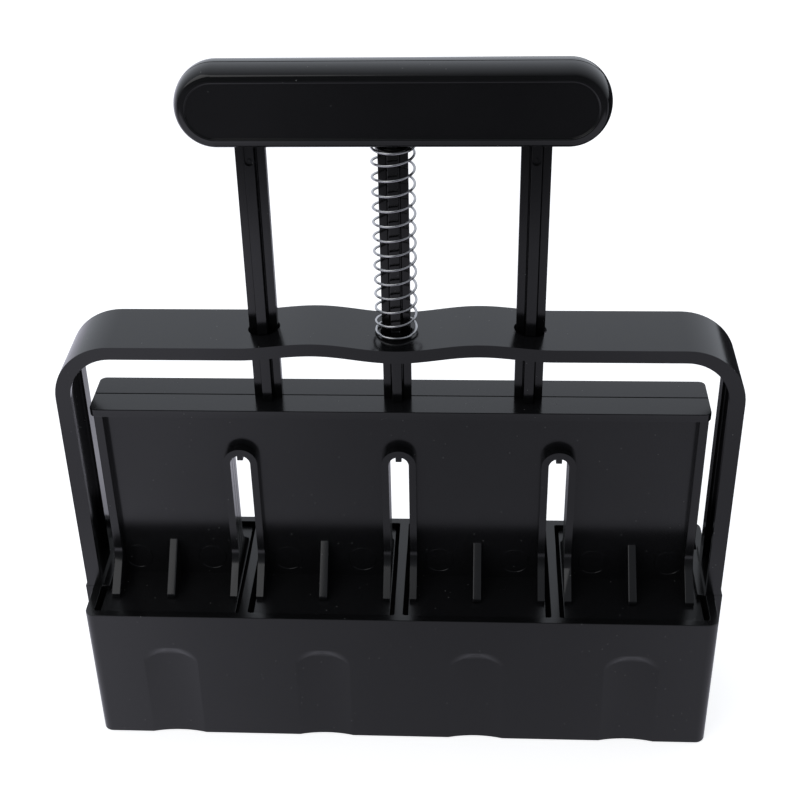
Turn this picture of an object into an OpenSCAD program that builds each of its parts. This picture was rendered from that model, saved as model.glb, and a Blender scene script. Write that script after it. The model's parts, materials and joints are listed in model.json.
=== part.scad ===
// Four-cell soil blocker: an open mould box under an arched yoke, and a sprung
// plunger of handle, three rods, carriage and press plates that slides in the yoke.
// X runs along the row of cells, Y from front to back, Z up from the mould's lower edge.

/* [Mould box] */
// Clear width of one soil cell
cell_w = 49.1; // [44:0.1:56]
// Clear depth of one soil cell
cell_d = 51; // [44:0.2:58]
// Height of the mould box
mould_h = 53.4; // [48:0.2:60]
// Thickness of the outer walls
wall_t = 3; // [2.4:0.1:3.6]
// Thickness of the dividers between cells
divider_t = 3.2; // [2:0.1:3.6]
// Radius of the upright outer corners
corner_r = 3.5; // [2:0.1:5]
// Width of an arch-topped finger recess in the long walls
recess_w = 18.8; // [14:0.2:24]
// Height of a finger recess above the lower edge
recess_h = 39.8; // [30:0.2:44]
// Radius of the two shoulders of a finger recess
recess_r = 7.6; // [4:0.2:7.8]
// Depth of a finger recess at its middle
recess_t = 1.2; // [0.4:0.1:1.4]
// How far the yoke socket stands out from the end wall
socket_out = 2.8; // [2.4:0.1:4]
// Height of the yoke socket
socket_h = 30; // [26:0.5:36]
// How far the plate stop stands into the end cell
stop_w = 2.7; // [2:0.1:3.4]

/* [Yoke] */
// Height of the yoke's flat top above the mould rim
yoke_rise = 94.9; // [90:0.1:110]
// Depth of the yoke from front to back
yoke_d = 25; // [20:0.5:30]
// Thickness of the top strap
strap_t = 4.3; // [3.6:0.1:6]
// Thickness of a leg
leg_t = 4.9; // [4.6:0.1:5.4]
// How far a leg stands out from the mould's end wall
leg_out = 2.1; // [1.6:0.1:2.4]
// Outer radius of the yoke's corners
yoke_r = 19; // [14:0.5:22]
// Thickness of the skin left behind the channel in a leg
leg_skin = 1.5; // [1.2:0.1:2.2]
// Width of the leg's rail in front of the channel
front_rail = 2.1; // [1.6:0.1:5]
// Width of the leg's rail behind the channel
back_rail = 5.3; // [3:0.1:7]
// How far the back rail's inner face is set back from the front rail's
back_land = 1; // [0:0.1:1.4]
// Distance of the channel's upper end below the yoke's flat top
channel_end = 10.3; // [9:0.1:16]
// Rise of the two grip waves in the strap
wave_up = 1.65; // [0:0.05:3]
// Dip of the strap at the centre rod
wave_down = 0.75; // [0:0.05:1.5]
// Distance of a grip wave's crest from the centre
wave_x = 26; // [24:0.5:28]
// Distance from the crest out to the flat part of the strap
wave_run = 23; // [18:0.5:26]
// Thickness of the tongue below each leg
tongue_t = 2.3; // [2:0.1:2.6]
// Width of the tongue from front to back
tongue_w = 18; // [14:0.5:20]
// Length of the tongue below the mould rim
tongue_h = 22; // [18:0.5:24]

/* [Plunger] */
// Width of a rod across its arms
rod_w = 8.9; // [8:0.1:9.4]
// Thickness of a rod's arms
rod_arm = 3; // [2.6:0.1:3.6]
// Distance of a side rod from the end of the handle
rod_inset = 20.95; // [19:0.05:24]
// Radial clearance of a rod in the strap
rod_gap = 0.4; // [0.3:0.05:0.8]
// Height of the carriage's top above the mould rim
carriage_rise = 70.5; // [69:0.1:74]
// Height of the handle's underside above the strap's flat top
handle_rise = 62.05; // [60:0.05:70]
// Stroke of the plunger
stroke = 47.6; // [40:0.2:48.4]

/* [Carriage] */
// Gap between the end of the carriage's top flange and the yoke's leg
flange_gap = 4.3; // [3.5:0.1:7]
// Depth of the whole flange
flange_d = 20.2; // [18.6:0.2:22]
// Thickness of the flange
flange_t = 2.7; // [2.2:0.1:3.4]
// Radius of the flange's upright corners
flange_r = 2.2; // [0.5:0.1:4]
// Thickness of the whole web
web_t = 4; // [3.8:0.1:5]
// Thickness of the ribs at the web's ends
edge_rib = 2.9; // [2:0.1:3.2]
// Depth of the ribs and arch rims from the middle plane
rib_d = 5.5; // [4.5:0.1:8]
// Reach of the ribs and gussets over a press plate
foot_d = 16.4; // [14:0.2:18]
// Height of the ribs at the end of their foot
foot_h = 1.4; // [1:0.1:2]
// Slope of a foot's upper face, in degrees from level
foot_slope = 40; // [30:1:50]
// Radius of the hollow where a rib flares out into its foot
flare_r = 7; // [4:0.5:9]
// Clear width of a divider slot
slot_w = 6.6; // [6:0.1:8]
// Thickness of the rim round a slot
slot_rim = 2.35; // [1.8:0.05:3]
// Width of the nib at the top of a slot
nib_w = 2; // [1.6:0.1:2.6]
// Drop of the nib below the slot's top
nib_h = 2.2; // [1:0.1:2.6]
// Height of the nib over the divider at full stroke
nib_gap = 0.2; // [0.2:0.1:1]
// How far the nib's face stands behind the rim's
nib_back = 0.5; // [0.2:0.1:1.5]
// Thickness of a gusset at the middle of a cell
gusset_t = 3; // [3:0.1:4]
// Height of a gusset above the plate
gusset_h = 15; // [12:0.2:18]
// Diameter of the round plugs that join the two shells
plug_d = 9.5; // [6:0.1:10]
// Distance of a plug from the middle of its cell
plug_x = 12.9; // [11.5:0.1:14]
// Height of a plug's middle above the plate
plug_rise = 7.1; // [6.4:0.1:9]

/* [Press plates] */
// Play between a press plate and the dividers, on each side
plate_gap = 1.4; // [0.25:0.05:1.8]
// Play between a press plate and the long walls, on each side
plate_play = 0.35; // [0.25:0.05:0.6]
// Thickness of a press plate
plate_t = 2.2; // [1.8:0.1:2.6]
// Height of the plates' underside over the mould's lower edge at full stroke
plate_clear = 1.6; // [0.6:0.1:2]
// Diameter of a seed pin at the plate
pin_d = 9; // [6:0.5:14]
// Diameter of a seed pin at its tip
pin_tip_d = 6; // [3:0.5:6]
// Length of a seed pin below the plate
pin_h = 6; // [4:0.5:10]
// Diameter of a seed pin's shank
shank_d = 2.6; // [2.2:0.1:2.6]
// Length of the shank in the carriage
shank_h = 9; // [6:0.5:11]

/* [Handle] */
// Length of the handle
handle_l = 125.2; // [120:0.2:140]
// Height of the handle
handle_h = 24.4; // [22:0.2:28]
// Depth of the whole handle
handle_d = 14.4; // [14:0.2:20]
// Width of the rounded edge round each face
edge_w = 1.85; // [1:0.05:2.2]
// Width of the raised border round the panel
border_w = 2.05; // [1:0.05:3]
// Depth of the recessed panel
panel_t = 0.7; // [0.3:0.05:1]
// Thickness of the shell's face behind the panel
face_t = 1.9; // [1.6:0.1:2.4]
// Distance of the inner handle screws from the centre
screw_in = 21; // [18:0.5:24]
// Distance of the outer handle screws from the end of the handle
screw_inset = 9.6; // [9.2:0.1:10.6]

/* [Spring] */
// Diameter of the spring wire
wire_d = 0.8; // [0.6:0.05:0.9]
// Outer diameter of the spring
spring_d = 13.4; // [13:0.1:15]
// Number of turns
spring_turns = 13.63; // [11.63:1:14.63]
// Length of each flat end, in turns
flat_turns = 0.5; // [0.25:0.05:0.6]
// Angle at which the lower end of the wire starts
spring_start = 133; // [90:1:180]

/* [Fits] */
// Gap between parts that fit into each other
fit = 0.1; // [0.05:0.05:0.15]
// Gap between the plates and the stops that they rise against
stop_gap = 0.1; // [0.05:0.05:0.3]
// Gap between the spring's ends and their seats
seat_gap = 0.06; // [0.04:0.01:0.1]
// Diameter of a screw's shank
screw_d = 2.8; // [2.4:0.1:3]
// Diameter of a screw's head
head_d = 5.4; // [4.8:0.1:6]
// Depth of a screw's countersunk head
head_h = 1.2; // [1:0.05:1.3]

/* [Hidden] */
$fn = 64;
cells = 4;
past = 1; // how far a cut runs past the face that it opens

pitch = cell_w + divider_t;
mould_w = cells * cell_w + (cells - 1) * divider_t + 2 * wall_t;
mould_d = cell_d + 2 * wall_t;
function cell_x(i) = (i - (cells - 1) / 2) * pitch;
function divider_x(i) = (i - (cells - 2) / 2) * pitch;

leg_x = mould_w / 2 + leg_out;
yoke_z = mould_h + yoke_rise;
corner_x = leg_x - yoke_r;
corner_z = yoke_z - yoke_r;
rod_x = handle_l / 2 - rod_inset;
hole_d = rod_w + 2 * rod_gap + 0.5;
channel_low = 1.6;
tongue_x = leg_x - 0.8 - tongue_t;
screw_drop = 12;
screw_y = 5;

plate_z = stroke + plate_clear;
plate_top = plate_z + plate_t;
flange_top = mould_h + carriage_rise;
flange_z = flange_top - flange_t;
web_w = 2 * (leg_x - leg_t - flange_gap);
slot_top = mould_h + stroke + nib_gap + nib_h;
arch_z = slot_top - slot_w / 2;
blade_w = 7;
blade_t = 1.8;
blade_h = 13;
blade_foot_w = 8.4;
blade_foot_h = 3;

handle_low = yoke_z + handle_rise;
handle_mid = handle_low + handle_h / 2;
screw_out = handle_l / 2 - screw_inset;
panel_l = handle_l - 2 * (edge_w + border_w);
panel_h = handle_h - 2 * (edge_w + border_w);
panel_y = handle_d / 2 - panel_t;
hollow_y = panel_y - face_t;
shoulder_d = 10.6;
shoulder_h = 2;
head_bar_w = 12;
head_bar_t = 6;
head_bar_h = 4;
head_bar_z = handle_mid + 2;
socket_wall = 2.2;
boss_d = 6.6;

spring_r = (spring_d - wire_d) / 2;
spring_end = spring_start + 360 * spring_turns;
coil_low = strap_top(spring_r * cos(spring_start)) + seat_gap + wire_d;
coil_high = handle_low - seat_gap - wire_d;
coil_pitch = (coil_high - coil_low) / (spring_turns - 2 * flat_turns);
coil_steps = 8;
coil_sides = 6;

black = "#1d1d1f";
near_black = "#26262a";
steel = "#c9ccd0";

// Height of the strap's upper face at a distance x from the centre
function wave(x) =
    abs(x) > wave_x + wave_run ? 0
    : abs(x) > wave_x ? wave_up * (1 + cos(180 * (abs(x) - wave_x) / wave_run)) / 2
    : (wave_up - wave_down + (wave_up + wave_down) * cos(180 * (wave_x - abs(x)) / wave_x)) / 2;
function strap_top(x) = yoke_z + wave(x);

// Height of the coil's middle line after t turns
function coil_z(t) = coil_low
    + coil_pitch * (min(max(t, flat_turns), spring_turns - flat_turns) - flat_turns);

module rounded_rect(w, d, r) {
    square([w - 2 * r, d], center = true);
    square([w, d - 2 * r], center = true);
    for (sx = [-1, 1], sy = [-1, 1])
        translate([sx * (w / 2 - r), sy * (d / 2 - r)]) circle(r);
}

module stadium(l, h) {
    square([l - h, h], center = true);
    for (s = [-1, 1]) translate([s * (l - h) / 2, 0]) circle(h / 2);
}

// Outline of a finger recess, standing on the lower edge, a little wider than its hollow
module recess_outline() {
    reach = recess_w / 2 + 0.4;
    translate([-reach, -past]) square([2 * reach, recess_h - recess_r + past]);
    translate([-reach + recess_r, 0]) square([2 * (reach - recess_r), recess_h]);
    for (s = [-1, 1]) translate([s * (reach - recess_r), recess_h - recess_r]) circle(recess_r);
}

// A finger recess in the front wall, hollowed like part of an upright cylinder
module recess() {
    hollow_r = (recess_w * recess_w / 4 + recess_t * recess_t) / (2 * recess_t);
    intersection() {
        upright(-mould_d / 2 - past, -mould_d / 2 + wall_t) recess_outline();
        translate([0, -mould_d / 2 - hollow_r + recess_t, -2 * past])
            cylinder(h = recess_h + 4 * past, r = hollow_r);
    }
}

// A flat shape drawn in x and z, given a thickness along y from y0 back to y1
module upright(y0, y1) {
    translate([0, y1, 0]) rotate([90, 0, 0]) linear_extrude(y1 - y0) children();
}

// A flat shape drawn in y and z, given a thickness along x, centred on x
module crosswise(x, t) {
    translate([x - t / 2, 0, 0]) rotate([90, 0, 90]) linear_extrude(t) children();
}

module screw(shank_l) {
    cylinder(h = head_h, d1 = head_d, d2 = screw_d);
    cylinder(h = shank_l, d = screw_d);
}

module screw_hole(shank_l) {
    cylinder(h = head_h, d1 = head_d + 2 * fit, d2 = screw_d + 2 * fit);
    cylinder(h = shank_l + fit, d = screw_d + 2 * fit);
    translate([0, 0, -past]) cylinder(h = past, d = head_d + 2 * fit);
}

// Places its children at the yoke screws, with z along each screw's axis
module at_yoke_screws() {
    for (s = [-1, 1], y = [-screw_y, screw_y])
        translate([s * (mould_w / 2 + socket_out), y, mould_h - screw_drop])
            rotate([0, -90 * s, 0]) children();
}

yoke_screw_l = mould_w / 2 + socket_out - tongue_x + 1;

module mould_box() {
    color(near_black) difference() {
        union() {
            linear_extrude(mould_h) rounded_rect(mould_w, mould_d, corner_r);
            for (s = [-1, 1])
                translate([s * mould_w / 2 - socket_out, -yoke_d / 2, mould_h - socket_h])
                    cube([2 * socket_out, yoke_d, socket_h]);
        }
        for (i = [0 : cells - 1])
            translate([cell_x(i) - cell_w / 2, -cell_d / 2, -past])
                cube([cell_w, cell_d, mould_h + 2 * past]);
        for (i = [0 : cells - 1], side = [0, 1])
            translate([cell_x(i), 0, 0]) mirror([0, side, 0]) recess();
        for (s = [-1, 1])
            translate([s * (tongue_x + tongue_t / 2) - tongue_t / 2 - fit,
                       -tongue_w / 2 - fit, mould_h - tongue_h - fit])
                cube([tongue_t + 2 * fit, tongue_w + 2 * fit, tongue_h + fit + past]);
        at_yoke_screws() screw_hole(yoke_screw_l);
    }
    color(near_black) for (s = [0, 1]) mirror([s, 0, 0])
        translate([mould_w / 2 - wall_t - stop_w, -yoke_d / 2, plate_top + stop_gap])
            cube([stop_w + 0.5, yoke_d, mould_h - plate_top - stop_gap]);
}

module yoke_outline() {
    arc_steps = 12;
    wave_steps = 48;
    wave_end = wave_x + wave_run;
    polygon(concat(
        [[-leg_x, mould_h]],
        [for (i = [0 : arc_steps]) let (a = 90 * i / arc_steps)
            [-corner_x - yoke_r * cos(a), corner_z + yoke_r * sin(a)]],
        [for (i = [0 : wave_steps]) let (x = wave_end * (2 * i / wave_steps - 1))
            [x, strap_top(x)]],
        [for (i = [0 : arc_steps]) let (a = 90 * i / arc_steps)
            [corner_x + yoke_r * sin(a), corner_z + yoke_r * cos(a)]],
        [[leg_x, mould_h], [leg_x - leg_t, mould_h]],
        [for (i = [0 : arc_steps]) let (a = 90 * i / arc_steps)
            [corner_x + (yoke_r - leg_t) * cos(a), corner_z + (yoke_r - strap_t) * sin(a)]],
        [for (i = [0 : wave_steps]) let (x = wave_end * (1 - 2 * i / wave_steps))
            [x, strap_top(x) - strap_t]],
        [for (i = [0 : arc_steps]) let (a = 90 * i / arc_steps)
            [-corner_x - (yoke_r - leg_t) * sin(a), corner_z + (yoke_r - strap_t) * cos(a)]],
        [[-leg_x + leg_t, mould_h]]
    ));
}

// The channel in a leg, or the land on its back rail, with the floor at a distance x
// from the middle and an elliptical top of height h over the corner's centre
module leg_cut(x, h, top_z) {
    arc_steps = 12;
    top_a = asin(min(1, (top_z - corner_z) / h));
    polygon(concat(
        [[corner_x, mould_h + channel_low], [x, mould_h + channel_low]],
        [for (i = [0 : arc_steps]) let (a = top_a * i / arc_steps)
            [corner_x + (x - corner_x) * cos(a), corner_z + h * sin(a)]],
        [[corner_x - past, corner_z + h * sin(top_a)]]
    ));
}

module yoke_frame() {
    color(black) difference() {
        union() {
            upright(-yoke_d / 2, yoke_d / 2) yoke_outline();
            for (s = [-1, 1])
                translate([s * (tongue_x + tongue_t / 2) - tongue_t / 2, -tongue_w / 2,
                           mould_h - tongue_h])
                    cube([tongue_t, tongue_w, tongue_h + past]);
        }
        for (x = [-rod_x, 0, rod_x])
            translate([x, 0, yoke_z - strap_t - wave_up - past])
                cylinder(h = strap_t + 2 * (wave_up + past), d = hole_d);
        for (s = [0, 1]) mirror([s, 0, 0]) {
            upright(-yoke_d / 2 + front_rail, yoke_d / 2 - back_rail)
                leg_cut(leg_x - leg_skin, yoke_r - leg_skin, yoke_z - channel_end);
            upright(yoke_d / 2 - back_rail - 0.5, yoke_d / 2 + past)
                leg_cut(leg_x - leg_t + back_land, yoke_r - strap_t, corner_z + yoke_r - strap_t);
        }
        at_yoke_screws() screw_hole(yoke_screw_l);
    }
}

module yoke_screws() {
    color(steel) at_yoke_screws() screw(yoke_screw_l - 2 * fit);
}

// The wire runs straight for one diameter at each end, square to its seat
spring_path = concat(
    [[spring_start, coil_low - wire_d]],
    [for (i = [0 : round(spring_turns * coil_steps)])
        let (t = spring_turns * i / round(spring_turns * coil_steps))
        [spring_start + 360 * t, coil_z(t)]],
    [[spring_end, coil_high + wire_d]]
);
spring_points = [for (p = spring_path) [spring_r * cos(p[0]), spring_r * sin(p[0]), p[1]]];
last_ring = len(spring_points) - 1;
function unit(v) = v / norm(v);
function spring_dir(i) =
    i == 0 || i == last_ring ? [0, 0, 1]
    : unit(unit(spring_points[i + 1] - spring_points[i])
        + unit(spring_points[i] - spring_points[i - 1]));
function spring_ring(i) =
    let (out = [cos(spring_path[i][0]), sin(spring_path[i][0]), 0],
         dir = spring_dir(i), side = unit(cross(dir, out)), up = cross(side, dir))
    [for (k = [0 : coil_sides - 1]) let (a = 360 * k / coil_sides)
        spring_points[i] + wire_d / 2 * (cos(a) * up + sin(a) * side)];

module return_spring() {
    n = coil_sides;
    color(steel) polyhedron(
        points = [for (i = [0 : last_ring]) each spring_ring(i)],
        faces = concat(
            [for (i = [0 : last_ring - 1], k = [0 : n - 1]) let (a = i * n, m = (k + 1) % n)
                [a + k, a + n + m, a + m]],
            [for (i = [0 : last_ring - 1], k = [0 : n - 1]) let (a = i * n, m = (k + 1) % n)
                [a + k, a + n + k, a + n + m]],
            [for (k = [1 : n - 2]) [0, k, k + 1]],
            [for (k = [1 : n - 2]) [last_ring * n, last_ring * n + k + 1, last_ring * n + k]]
        ));
}

// Least gap of the spring's wire to itself, between points over half a turn apart
spring_gap = min([for (i = [0 : last_ring], j = [i + coil_steps / 2 : 1 : last_ring])
    norm(spring_points[i] - spring_points[j])]) - wire_d;
echo(spring_gap = spring_gap);

// Front half of the handle: its seam is the plane y = 0
module handle_half() {
    slice = 0.01;
    crown = [[0, 0], [0.45, 0.22], [0.78, 0.58], [1, 1]];
    ridge_y = panel_y - slice;
    difference() {
        hull() {
            for (c = crown)
                translate([0, -c[0] * ridge_y, handle_mid])
                    upright(-slice, 0)
                        stadium(handle_l - 2 * c[1] * edge_w, handle_h - 2 * c[1] * edge_w, $fn = 48);
            translate([0, 0, handle_mid]) upright(-handle_d / 2, -handle_d / 2 + slice)
                stadium(panel_l, panel_h, $fn = 48);
        }
        translate([0, 0, handle_mid]) upright(-handle_d / 2 - past, -panel_y)
            stadium(panel_l - 0.2, panel_h - 0.2);
        handle_hollows();
        for (x = [-rod_x, 0, rod_x]) rod_pocket(x);
    }
    for (x = [-screw_out, -screw_in, screw_in, screw_out])
        translate([x, 0, handle_mid]) upright(-hollow_y - slice, 0) circle(d = boss_d);
}

// Hollows between the rod sockets and past the outer ones
module handle_hollows() {
    side = rod_w / 2 + fit + socket_wall;
    bar_side = head_bar_w / 2 + fit + socket_wall;
    inner_h = handle_h - 2 * (edge_w + border_w) - 1;
    inner_l = handle_l - 2 * (edge_w + border_w) - 2;
    translate([0, 0, handle_mid]) upright(-hollow_y, past) difference() {
        stadium(inner_l, inner_h);
        for (x = [-rod_x, 0, rod_x]) translate([x - bar_side, -inner_h])
            square([2 * bar_side, 2 * inner_h]);
    }
}

module rod_pocket(x) {
    translate([x, 0, handle_low - past])
        cylinder(h = head_bar_z - handle_low + past + fit, d = rod_w + 2 * fit);
    translate([x - head_bar_w / 2 - fit, -head_bar_t / 2 - fit, head_bar_z - fit])
        cube([head_bar_w + 2 * fit, head_bar_t + 2 * fit, head_bar_h + 2 * fit]);
}

handle_screw_l = panel_y + hollow_y + 0.8;

// Places its children at the handle screws, which go in from the back
module at_handle_screws() {
    for (x = [-screw_out, -screw_in, screw_in, screw_out])
        translate([x, panel_y, handle_mid]) rotate([90, 0, 0]) children();
}

module handle_front_shell() {
    color(black) difference() {
        handle_half();
        at_handle_screws() screw_hole(handle_screw_l);
    }
}

module handle_back_shell() {
    color(black) difference() {
        mirror([0, 1, 0]) handle_half();
        at_handle_screws() screw_hole(handle_screw_l);
    }
}

module handle_screws() {
    color(steel) at_handle_screws() screw(handle_screw_l - fit);
}

// A cross-shaped rod, with a flat foot held in the carriage and a bar held in the handle
module rod(x, shoulder) {
    stem_h = head_bar_z - flange_top;
    color(black) translate([x, 0, 0]) {
        translate([0, 0, flange_top]) linear_extrude(stem_h) {
            square([rod_w, rod_arm], center = true);
            square([rod_arm, rod_w], center = true);
        }
        translate([-head_bar_w / 2, -head_bar_t / 2, head_bar_z])
            cube([head_bar_w, head_bar_t, head_bar_h]);
        translate([-blade_w / 2, -blade_t / 2, flange_top - blade_h])
            cube([blade_w, blade_t, blade_h + past]);
        translate([-blade_foot_w / 2, -blade_t / 2, flange_top - blade_h])
            cube([blade_foot_w, blade_t, blade_foot_h]);
        if (shoulder)
            translate([0, 0, handle_low - shoulder_h]) cylinder(h = shoulder_h, d = shoulder_d);
    }
}

module left_rod() { rod(-rod_x, false); }
module centre_rod() { rod(0, true); }
module right_rod() { rod(rod_x, false); }

// Side view of a rib: upright above, then hollowed out into its sloping foot
module rib_outline(top_z) {
    turn = 90 - foot_slope;
    run = flare_r * (1 - cos(turn));
    slope_h = (foot_d - rib_d - run) * tan(foot_slope);
    flare_z = plate_top + foot_h + slope_h + flare_r * sin(turn);
    flare_steps = 8;
    polygon(concat(
        [[0, plate_top], [-foot_d, plate_top], [-foot_d, plate_top + foot_h]],
        [for (i = [0 : flare_steps]) let (a = turn * (1 - i / flare_steps))
            [-rib_d - flare_r * (1 - cos(a)), flare_z - flare_r * sin(a)]],
        [[-rib_d, top_z], [0, top_z]]
    ));
}

module gusset_outline() {
    polygon([[0, plate_top], [-foot_d, plate_top], [-foot_d, plate_top + foot_h],
             [-web_t / 2, plate_top + gusset_h], [0, plate_top + gusset_h]]);
}

// Front half of the flange, with its two rounded corners
module flange_outline() {
    side = web_w / 2 - flange_r;
    translate([-web_w / 2, -flange_d / 2 + flange_r]) square([web_w, flange_d / 2 - flange_r]);
    translate([-side, -flange_d / 2]) square([2 * side, flange_d / 2]);
    for (s = [-1, 1]) translate([s * side, -flange_d / 2 + flange_r]) circle(flange_r);
}

module arch_outline(half_w) {
    translate([-half_w, 0]) square([2 * half_w, arch_z]);
    translate([0, arch_z]) circle(half_w);
}

// Front half of the carriage: its seam is the plane y = 0
module carriage_half() {
    rim_w = slot_w / 2 + slot_rim;
    difference() {
        union() {
            translate([-web_w / 2, -web_t / 2, plate_top])
                cube([web_w, web_t / 2, flange_z - plate_top]);
            translate([0, 0, flange_z]) linear_extrude(flange_t) flange_outline();
            for (s = [-1, 1])
                crosswise(s * (web_w - edge_rib) / 2, edge_rib) rib_outline(flange_z);
            for (i = [0 : cells - 2]) {
                intersection() {
                    translate([divider_x(i), 0, 0]) upright(-rib_d, 0) arch_outline(rim_w);
                    translate([divider_x(i) - rim_w, -rib_d, plate_top])
                        cube([2 * rim_w, rib_d, flange_z - plate_top]);
                }
                crosswise(divider_x(i), 2 * rim_w) rib_outline(arch_z);
            }
            for (i = [0 : cells - 1]) crosswise(cell_x(i), gusset_t) gusset_outline();
        }
        for (i = [0 : cells - 2])
            translate([divider_x(i), 0, 0]) upright(-foot_d - past, past) arch_outline(slot_w / 2);
        for (i = [0 : cells - 1], s = [-1, 1])
            translate([cell_x(i) + s * plug_x, 0, plate_top + plug_rise])
                upright(-web_t, past) circle(d = plug_d + 2 * fit);
        for (i = [0 : cells - 1])
            translate([cell_x(i), 0, plate_top - past])
                cylinder(h = shank_h + past + fit, d = shank_d + 2 * fit);
        for (x = [-rod_x, 0, rod_x]) blade_pocket(x);
    }
    for (i = [0 : cells - 2])
        translate([divider_x(i) - nib_w / 2, -rib_d + nib_back, slot_top - nib_h])
            cube([nib_w, rib_d - nib_back, nib_h + 0.3]);
}

module blade_pocket(x) {
    translate([x - blade_w / 2 - fit, -blade_t / 2 - fit, flange_top - blade_h - fit])
        cube([blade_w + 2 * fit, blade_t + 2 * fit, blade_h + fit + past]);
    translate([x - blade_foot_w / 2 - fit, -blade_t / 2 - fit, flange_top - blade_h - fit])
        cube([blade_foot_w + 2 * fit, blade_t + 2 * fit, blade_foot_h + 2 * fit]);
}

module carriage_front_shell() {
    color(near_black) carriage_half();
}

module carriage_back_shell() {
    color(near_black) mirror([0, 1, 0]) carriage_half();
}

module carriage_plugs() {
    color(black) for (i = [0 : cells - 1], s = [-1, 1])
        translate([cell_x(i) + s * plug_x, 0, plate_top + plug_rise])
            upright(-web_t / 2, web_t / 2) circle(d = plug_d);
}

module press_plate(i) {
    corner = 0.8;
    color(near_black) translate([cell_x(i), 0, plate_z]) difference() {
        linear_extrude(plate_t)
            rounded_rect(cell_w - 2 * plate_gap, cell_d - 2 * plate_play, corner);
        translate([0, 0, -past]) cylinder(h = plate_t + 2 * past, d = shank_d + 2 * fit);
    }
}

module seed_pin(i) {
    color(black) translate([cell_x(i), 0, plate_z - pin_h]) {
        cylinder(h = pin_h, d1 = pin_tip_d, d2 = pin_d);
        cylinder(h = pin_h + plate_t + shank_h, d = shank_d);
    }
}

mould_box();
yoke_frame();
yoke_screws();
return_spring();
handle_front_shell();
handle_back_shell();
handle_screws();
left_rod();
centre_rod();
right_rod();
carriage_front_shell();
carriage_back_shell();
carriage_plugs();
press_plate(0);  // press_plate_1
press_plate(1);  // press_plate_2
press_plate(2);  // press_plate_3
press_plate(3);  // press_plate_4
seed_pin(0);  // seed_pin_1
seed_pin(1);  // seed_pin_2
seed_pin(2);  // seed_pin_3
seed_pin(3);  // seed_pin_4
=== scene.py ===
import bpy
import bmesh
import json
import math
from mathutils import Matrix, Vector


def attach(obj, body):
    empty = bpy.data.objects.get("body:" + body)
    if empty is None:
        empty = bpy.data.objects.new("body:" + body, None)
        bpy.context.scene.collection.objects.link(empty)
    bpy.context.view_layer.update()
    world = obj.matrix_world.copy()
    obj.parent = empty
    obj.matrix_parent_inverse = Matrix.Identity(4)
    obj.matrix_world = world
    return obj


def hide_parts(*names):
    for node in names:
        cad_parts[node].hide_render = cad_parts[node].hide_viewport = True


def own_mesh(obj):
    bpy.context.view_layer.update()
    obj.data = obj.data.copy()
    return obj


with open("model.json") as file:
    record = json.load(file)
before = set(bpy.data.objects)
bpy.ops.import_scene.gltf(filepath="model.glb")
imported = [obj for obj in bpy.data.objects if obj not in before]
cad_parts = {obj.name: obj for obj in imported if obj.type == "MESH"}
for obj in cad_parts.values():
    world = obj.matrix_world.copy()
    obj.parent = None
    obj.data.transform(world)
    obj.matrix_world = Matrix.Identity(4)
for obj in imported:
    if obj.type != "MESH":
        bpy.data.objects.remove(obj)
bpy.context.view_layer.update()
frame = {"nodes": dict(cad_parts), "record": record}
scene = bpy.context.scene
mm = 0.001
print("frame loaded:", len(frame["nodes"]), "CAD nodes")

# lengths are in mm and angles in degrees, unless a note says otherwise
cameraSet = {
    "lens": 68.156,
    "sensor": 36.0,
    "shift": (0.02627, 0.06756),
    "clip": (0.01, 20),  # m
    "place": (23.15, -412.80, 383.02),
    "yaw": 4.136,
    "pitch": 34.27,
    "roll": -1.75,
}


def placeCamera(s):
    yaw, pitch, roll = (math.radians(s[k]) for k in ("yaw", "pitch", "roll"))
    ahead = Vector((-math.sin(yaw) * math.cos(pitch), math.cos(yaw) * math.cos(pitch), -math.sin(pitch)))
    level = Vector((math.cos(yaw), math.sin(yaw), 0))
    above = level.cross(ahead)
    right = level * math.cos(roll) + above * math.sin(roll)
    up = above * math.cos(roll) - level * math.sin(roll)
    data = bpy.data.cameras.new("photoCamera")
    data.lens, data.sensor_width = s["lens"], s["sensor"]
    data.shift_x, data.shift_y = s["shift"]
    data.clip_start, data.clip_end = s["clip"]
    camera = bpy.data.objects.new("photoCamera", data)
    turn = Matrix((right, up, -ahead)).transposed().to_4x4()
    camera.matrix_world = Matrix.Translation(Vector(s["place"]) * mm) @ turn
    scene.collection.objects.link(camera)
    scene.camera = camera


placeCamera(cameraSet)
print("camera placed")


class Value:
    # one output socket of a node, so that sums on it read as plain Python

    def __init__(self, maker, socket):
        self.maker, self.socket = maker, socket

    def sum(self, operation, *parts):
        return self.maker.node("ShaderNodeMath", {"operation": operation}, dict(enumerate(parts)))

    def also(self, name):
        # another output of the same node
        return Value(self.maker, self.socket.node.outputs[name])

    def __add__(self, other): return self.sum("ADD", self, other)
    def __sub__(self, other): return self.sum("SUBTRACT", self, other)
    def __rsub__(self, other): return self.sum("SUBTRACT", other, self)
    def __mul__(self, other): return self.sum("MULTIPLY", self, other)
    def __gt__(self, other): return self.sum("GREATER_THAN", self, other)
    def __lt__(self, other): return self.sum("LESS_THAN", self, other)
    def __abs__(self): return self.sum("ABSOLUTE", self)
    __radd__ = __add__
    __rmul__ = __mul__


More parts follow.
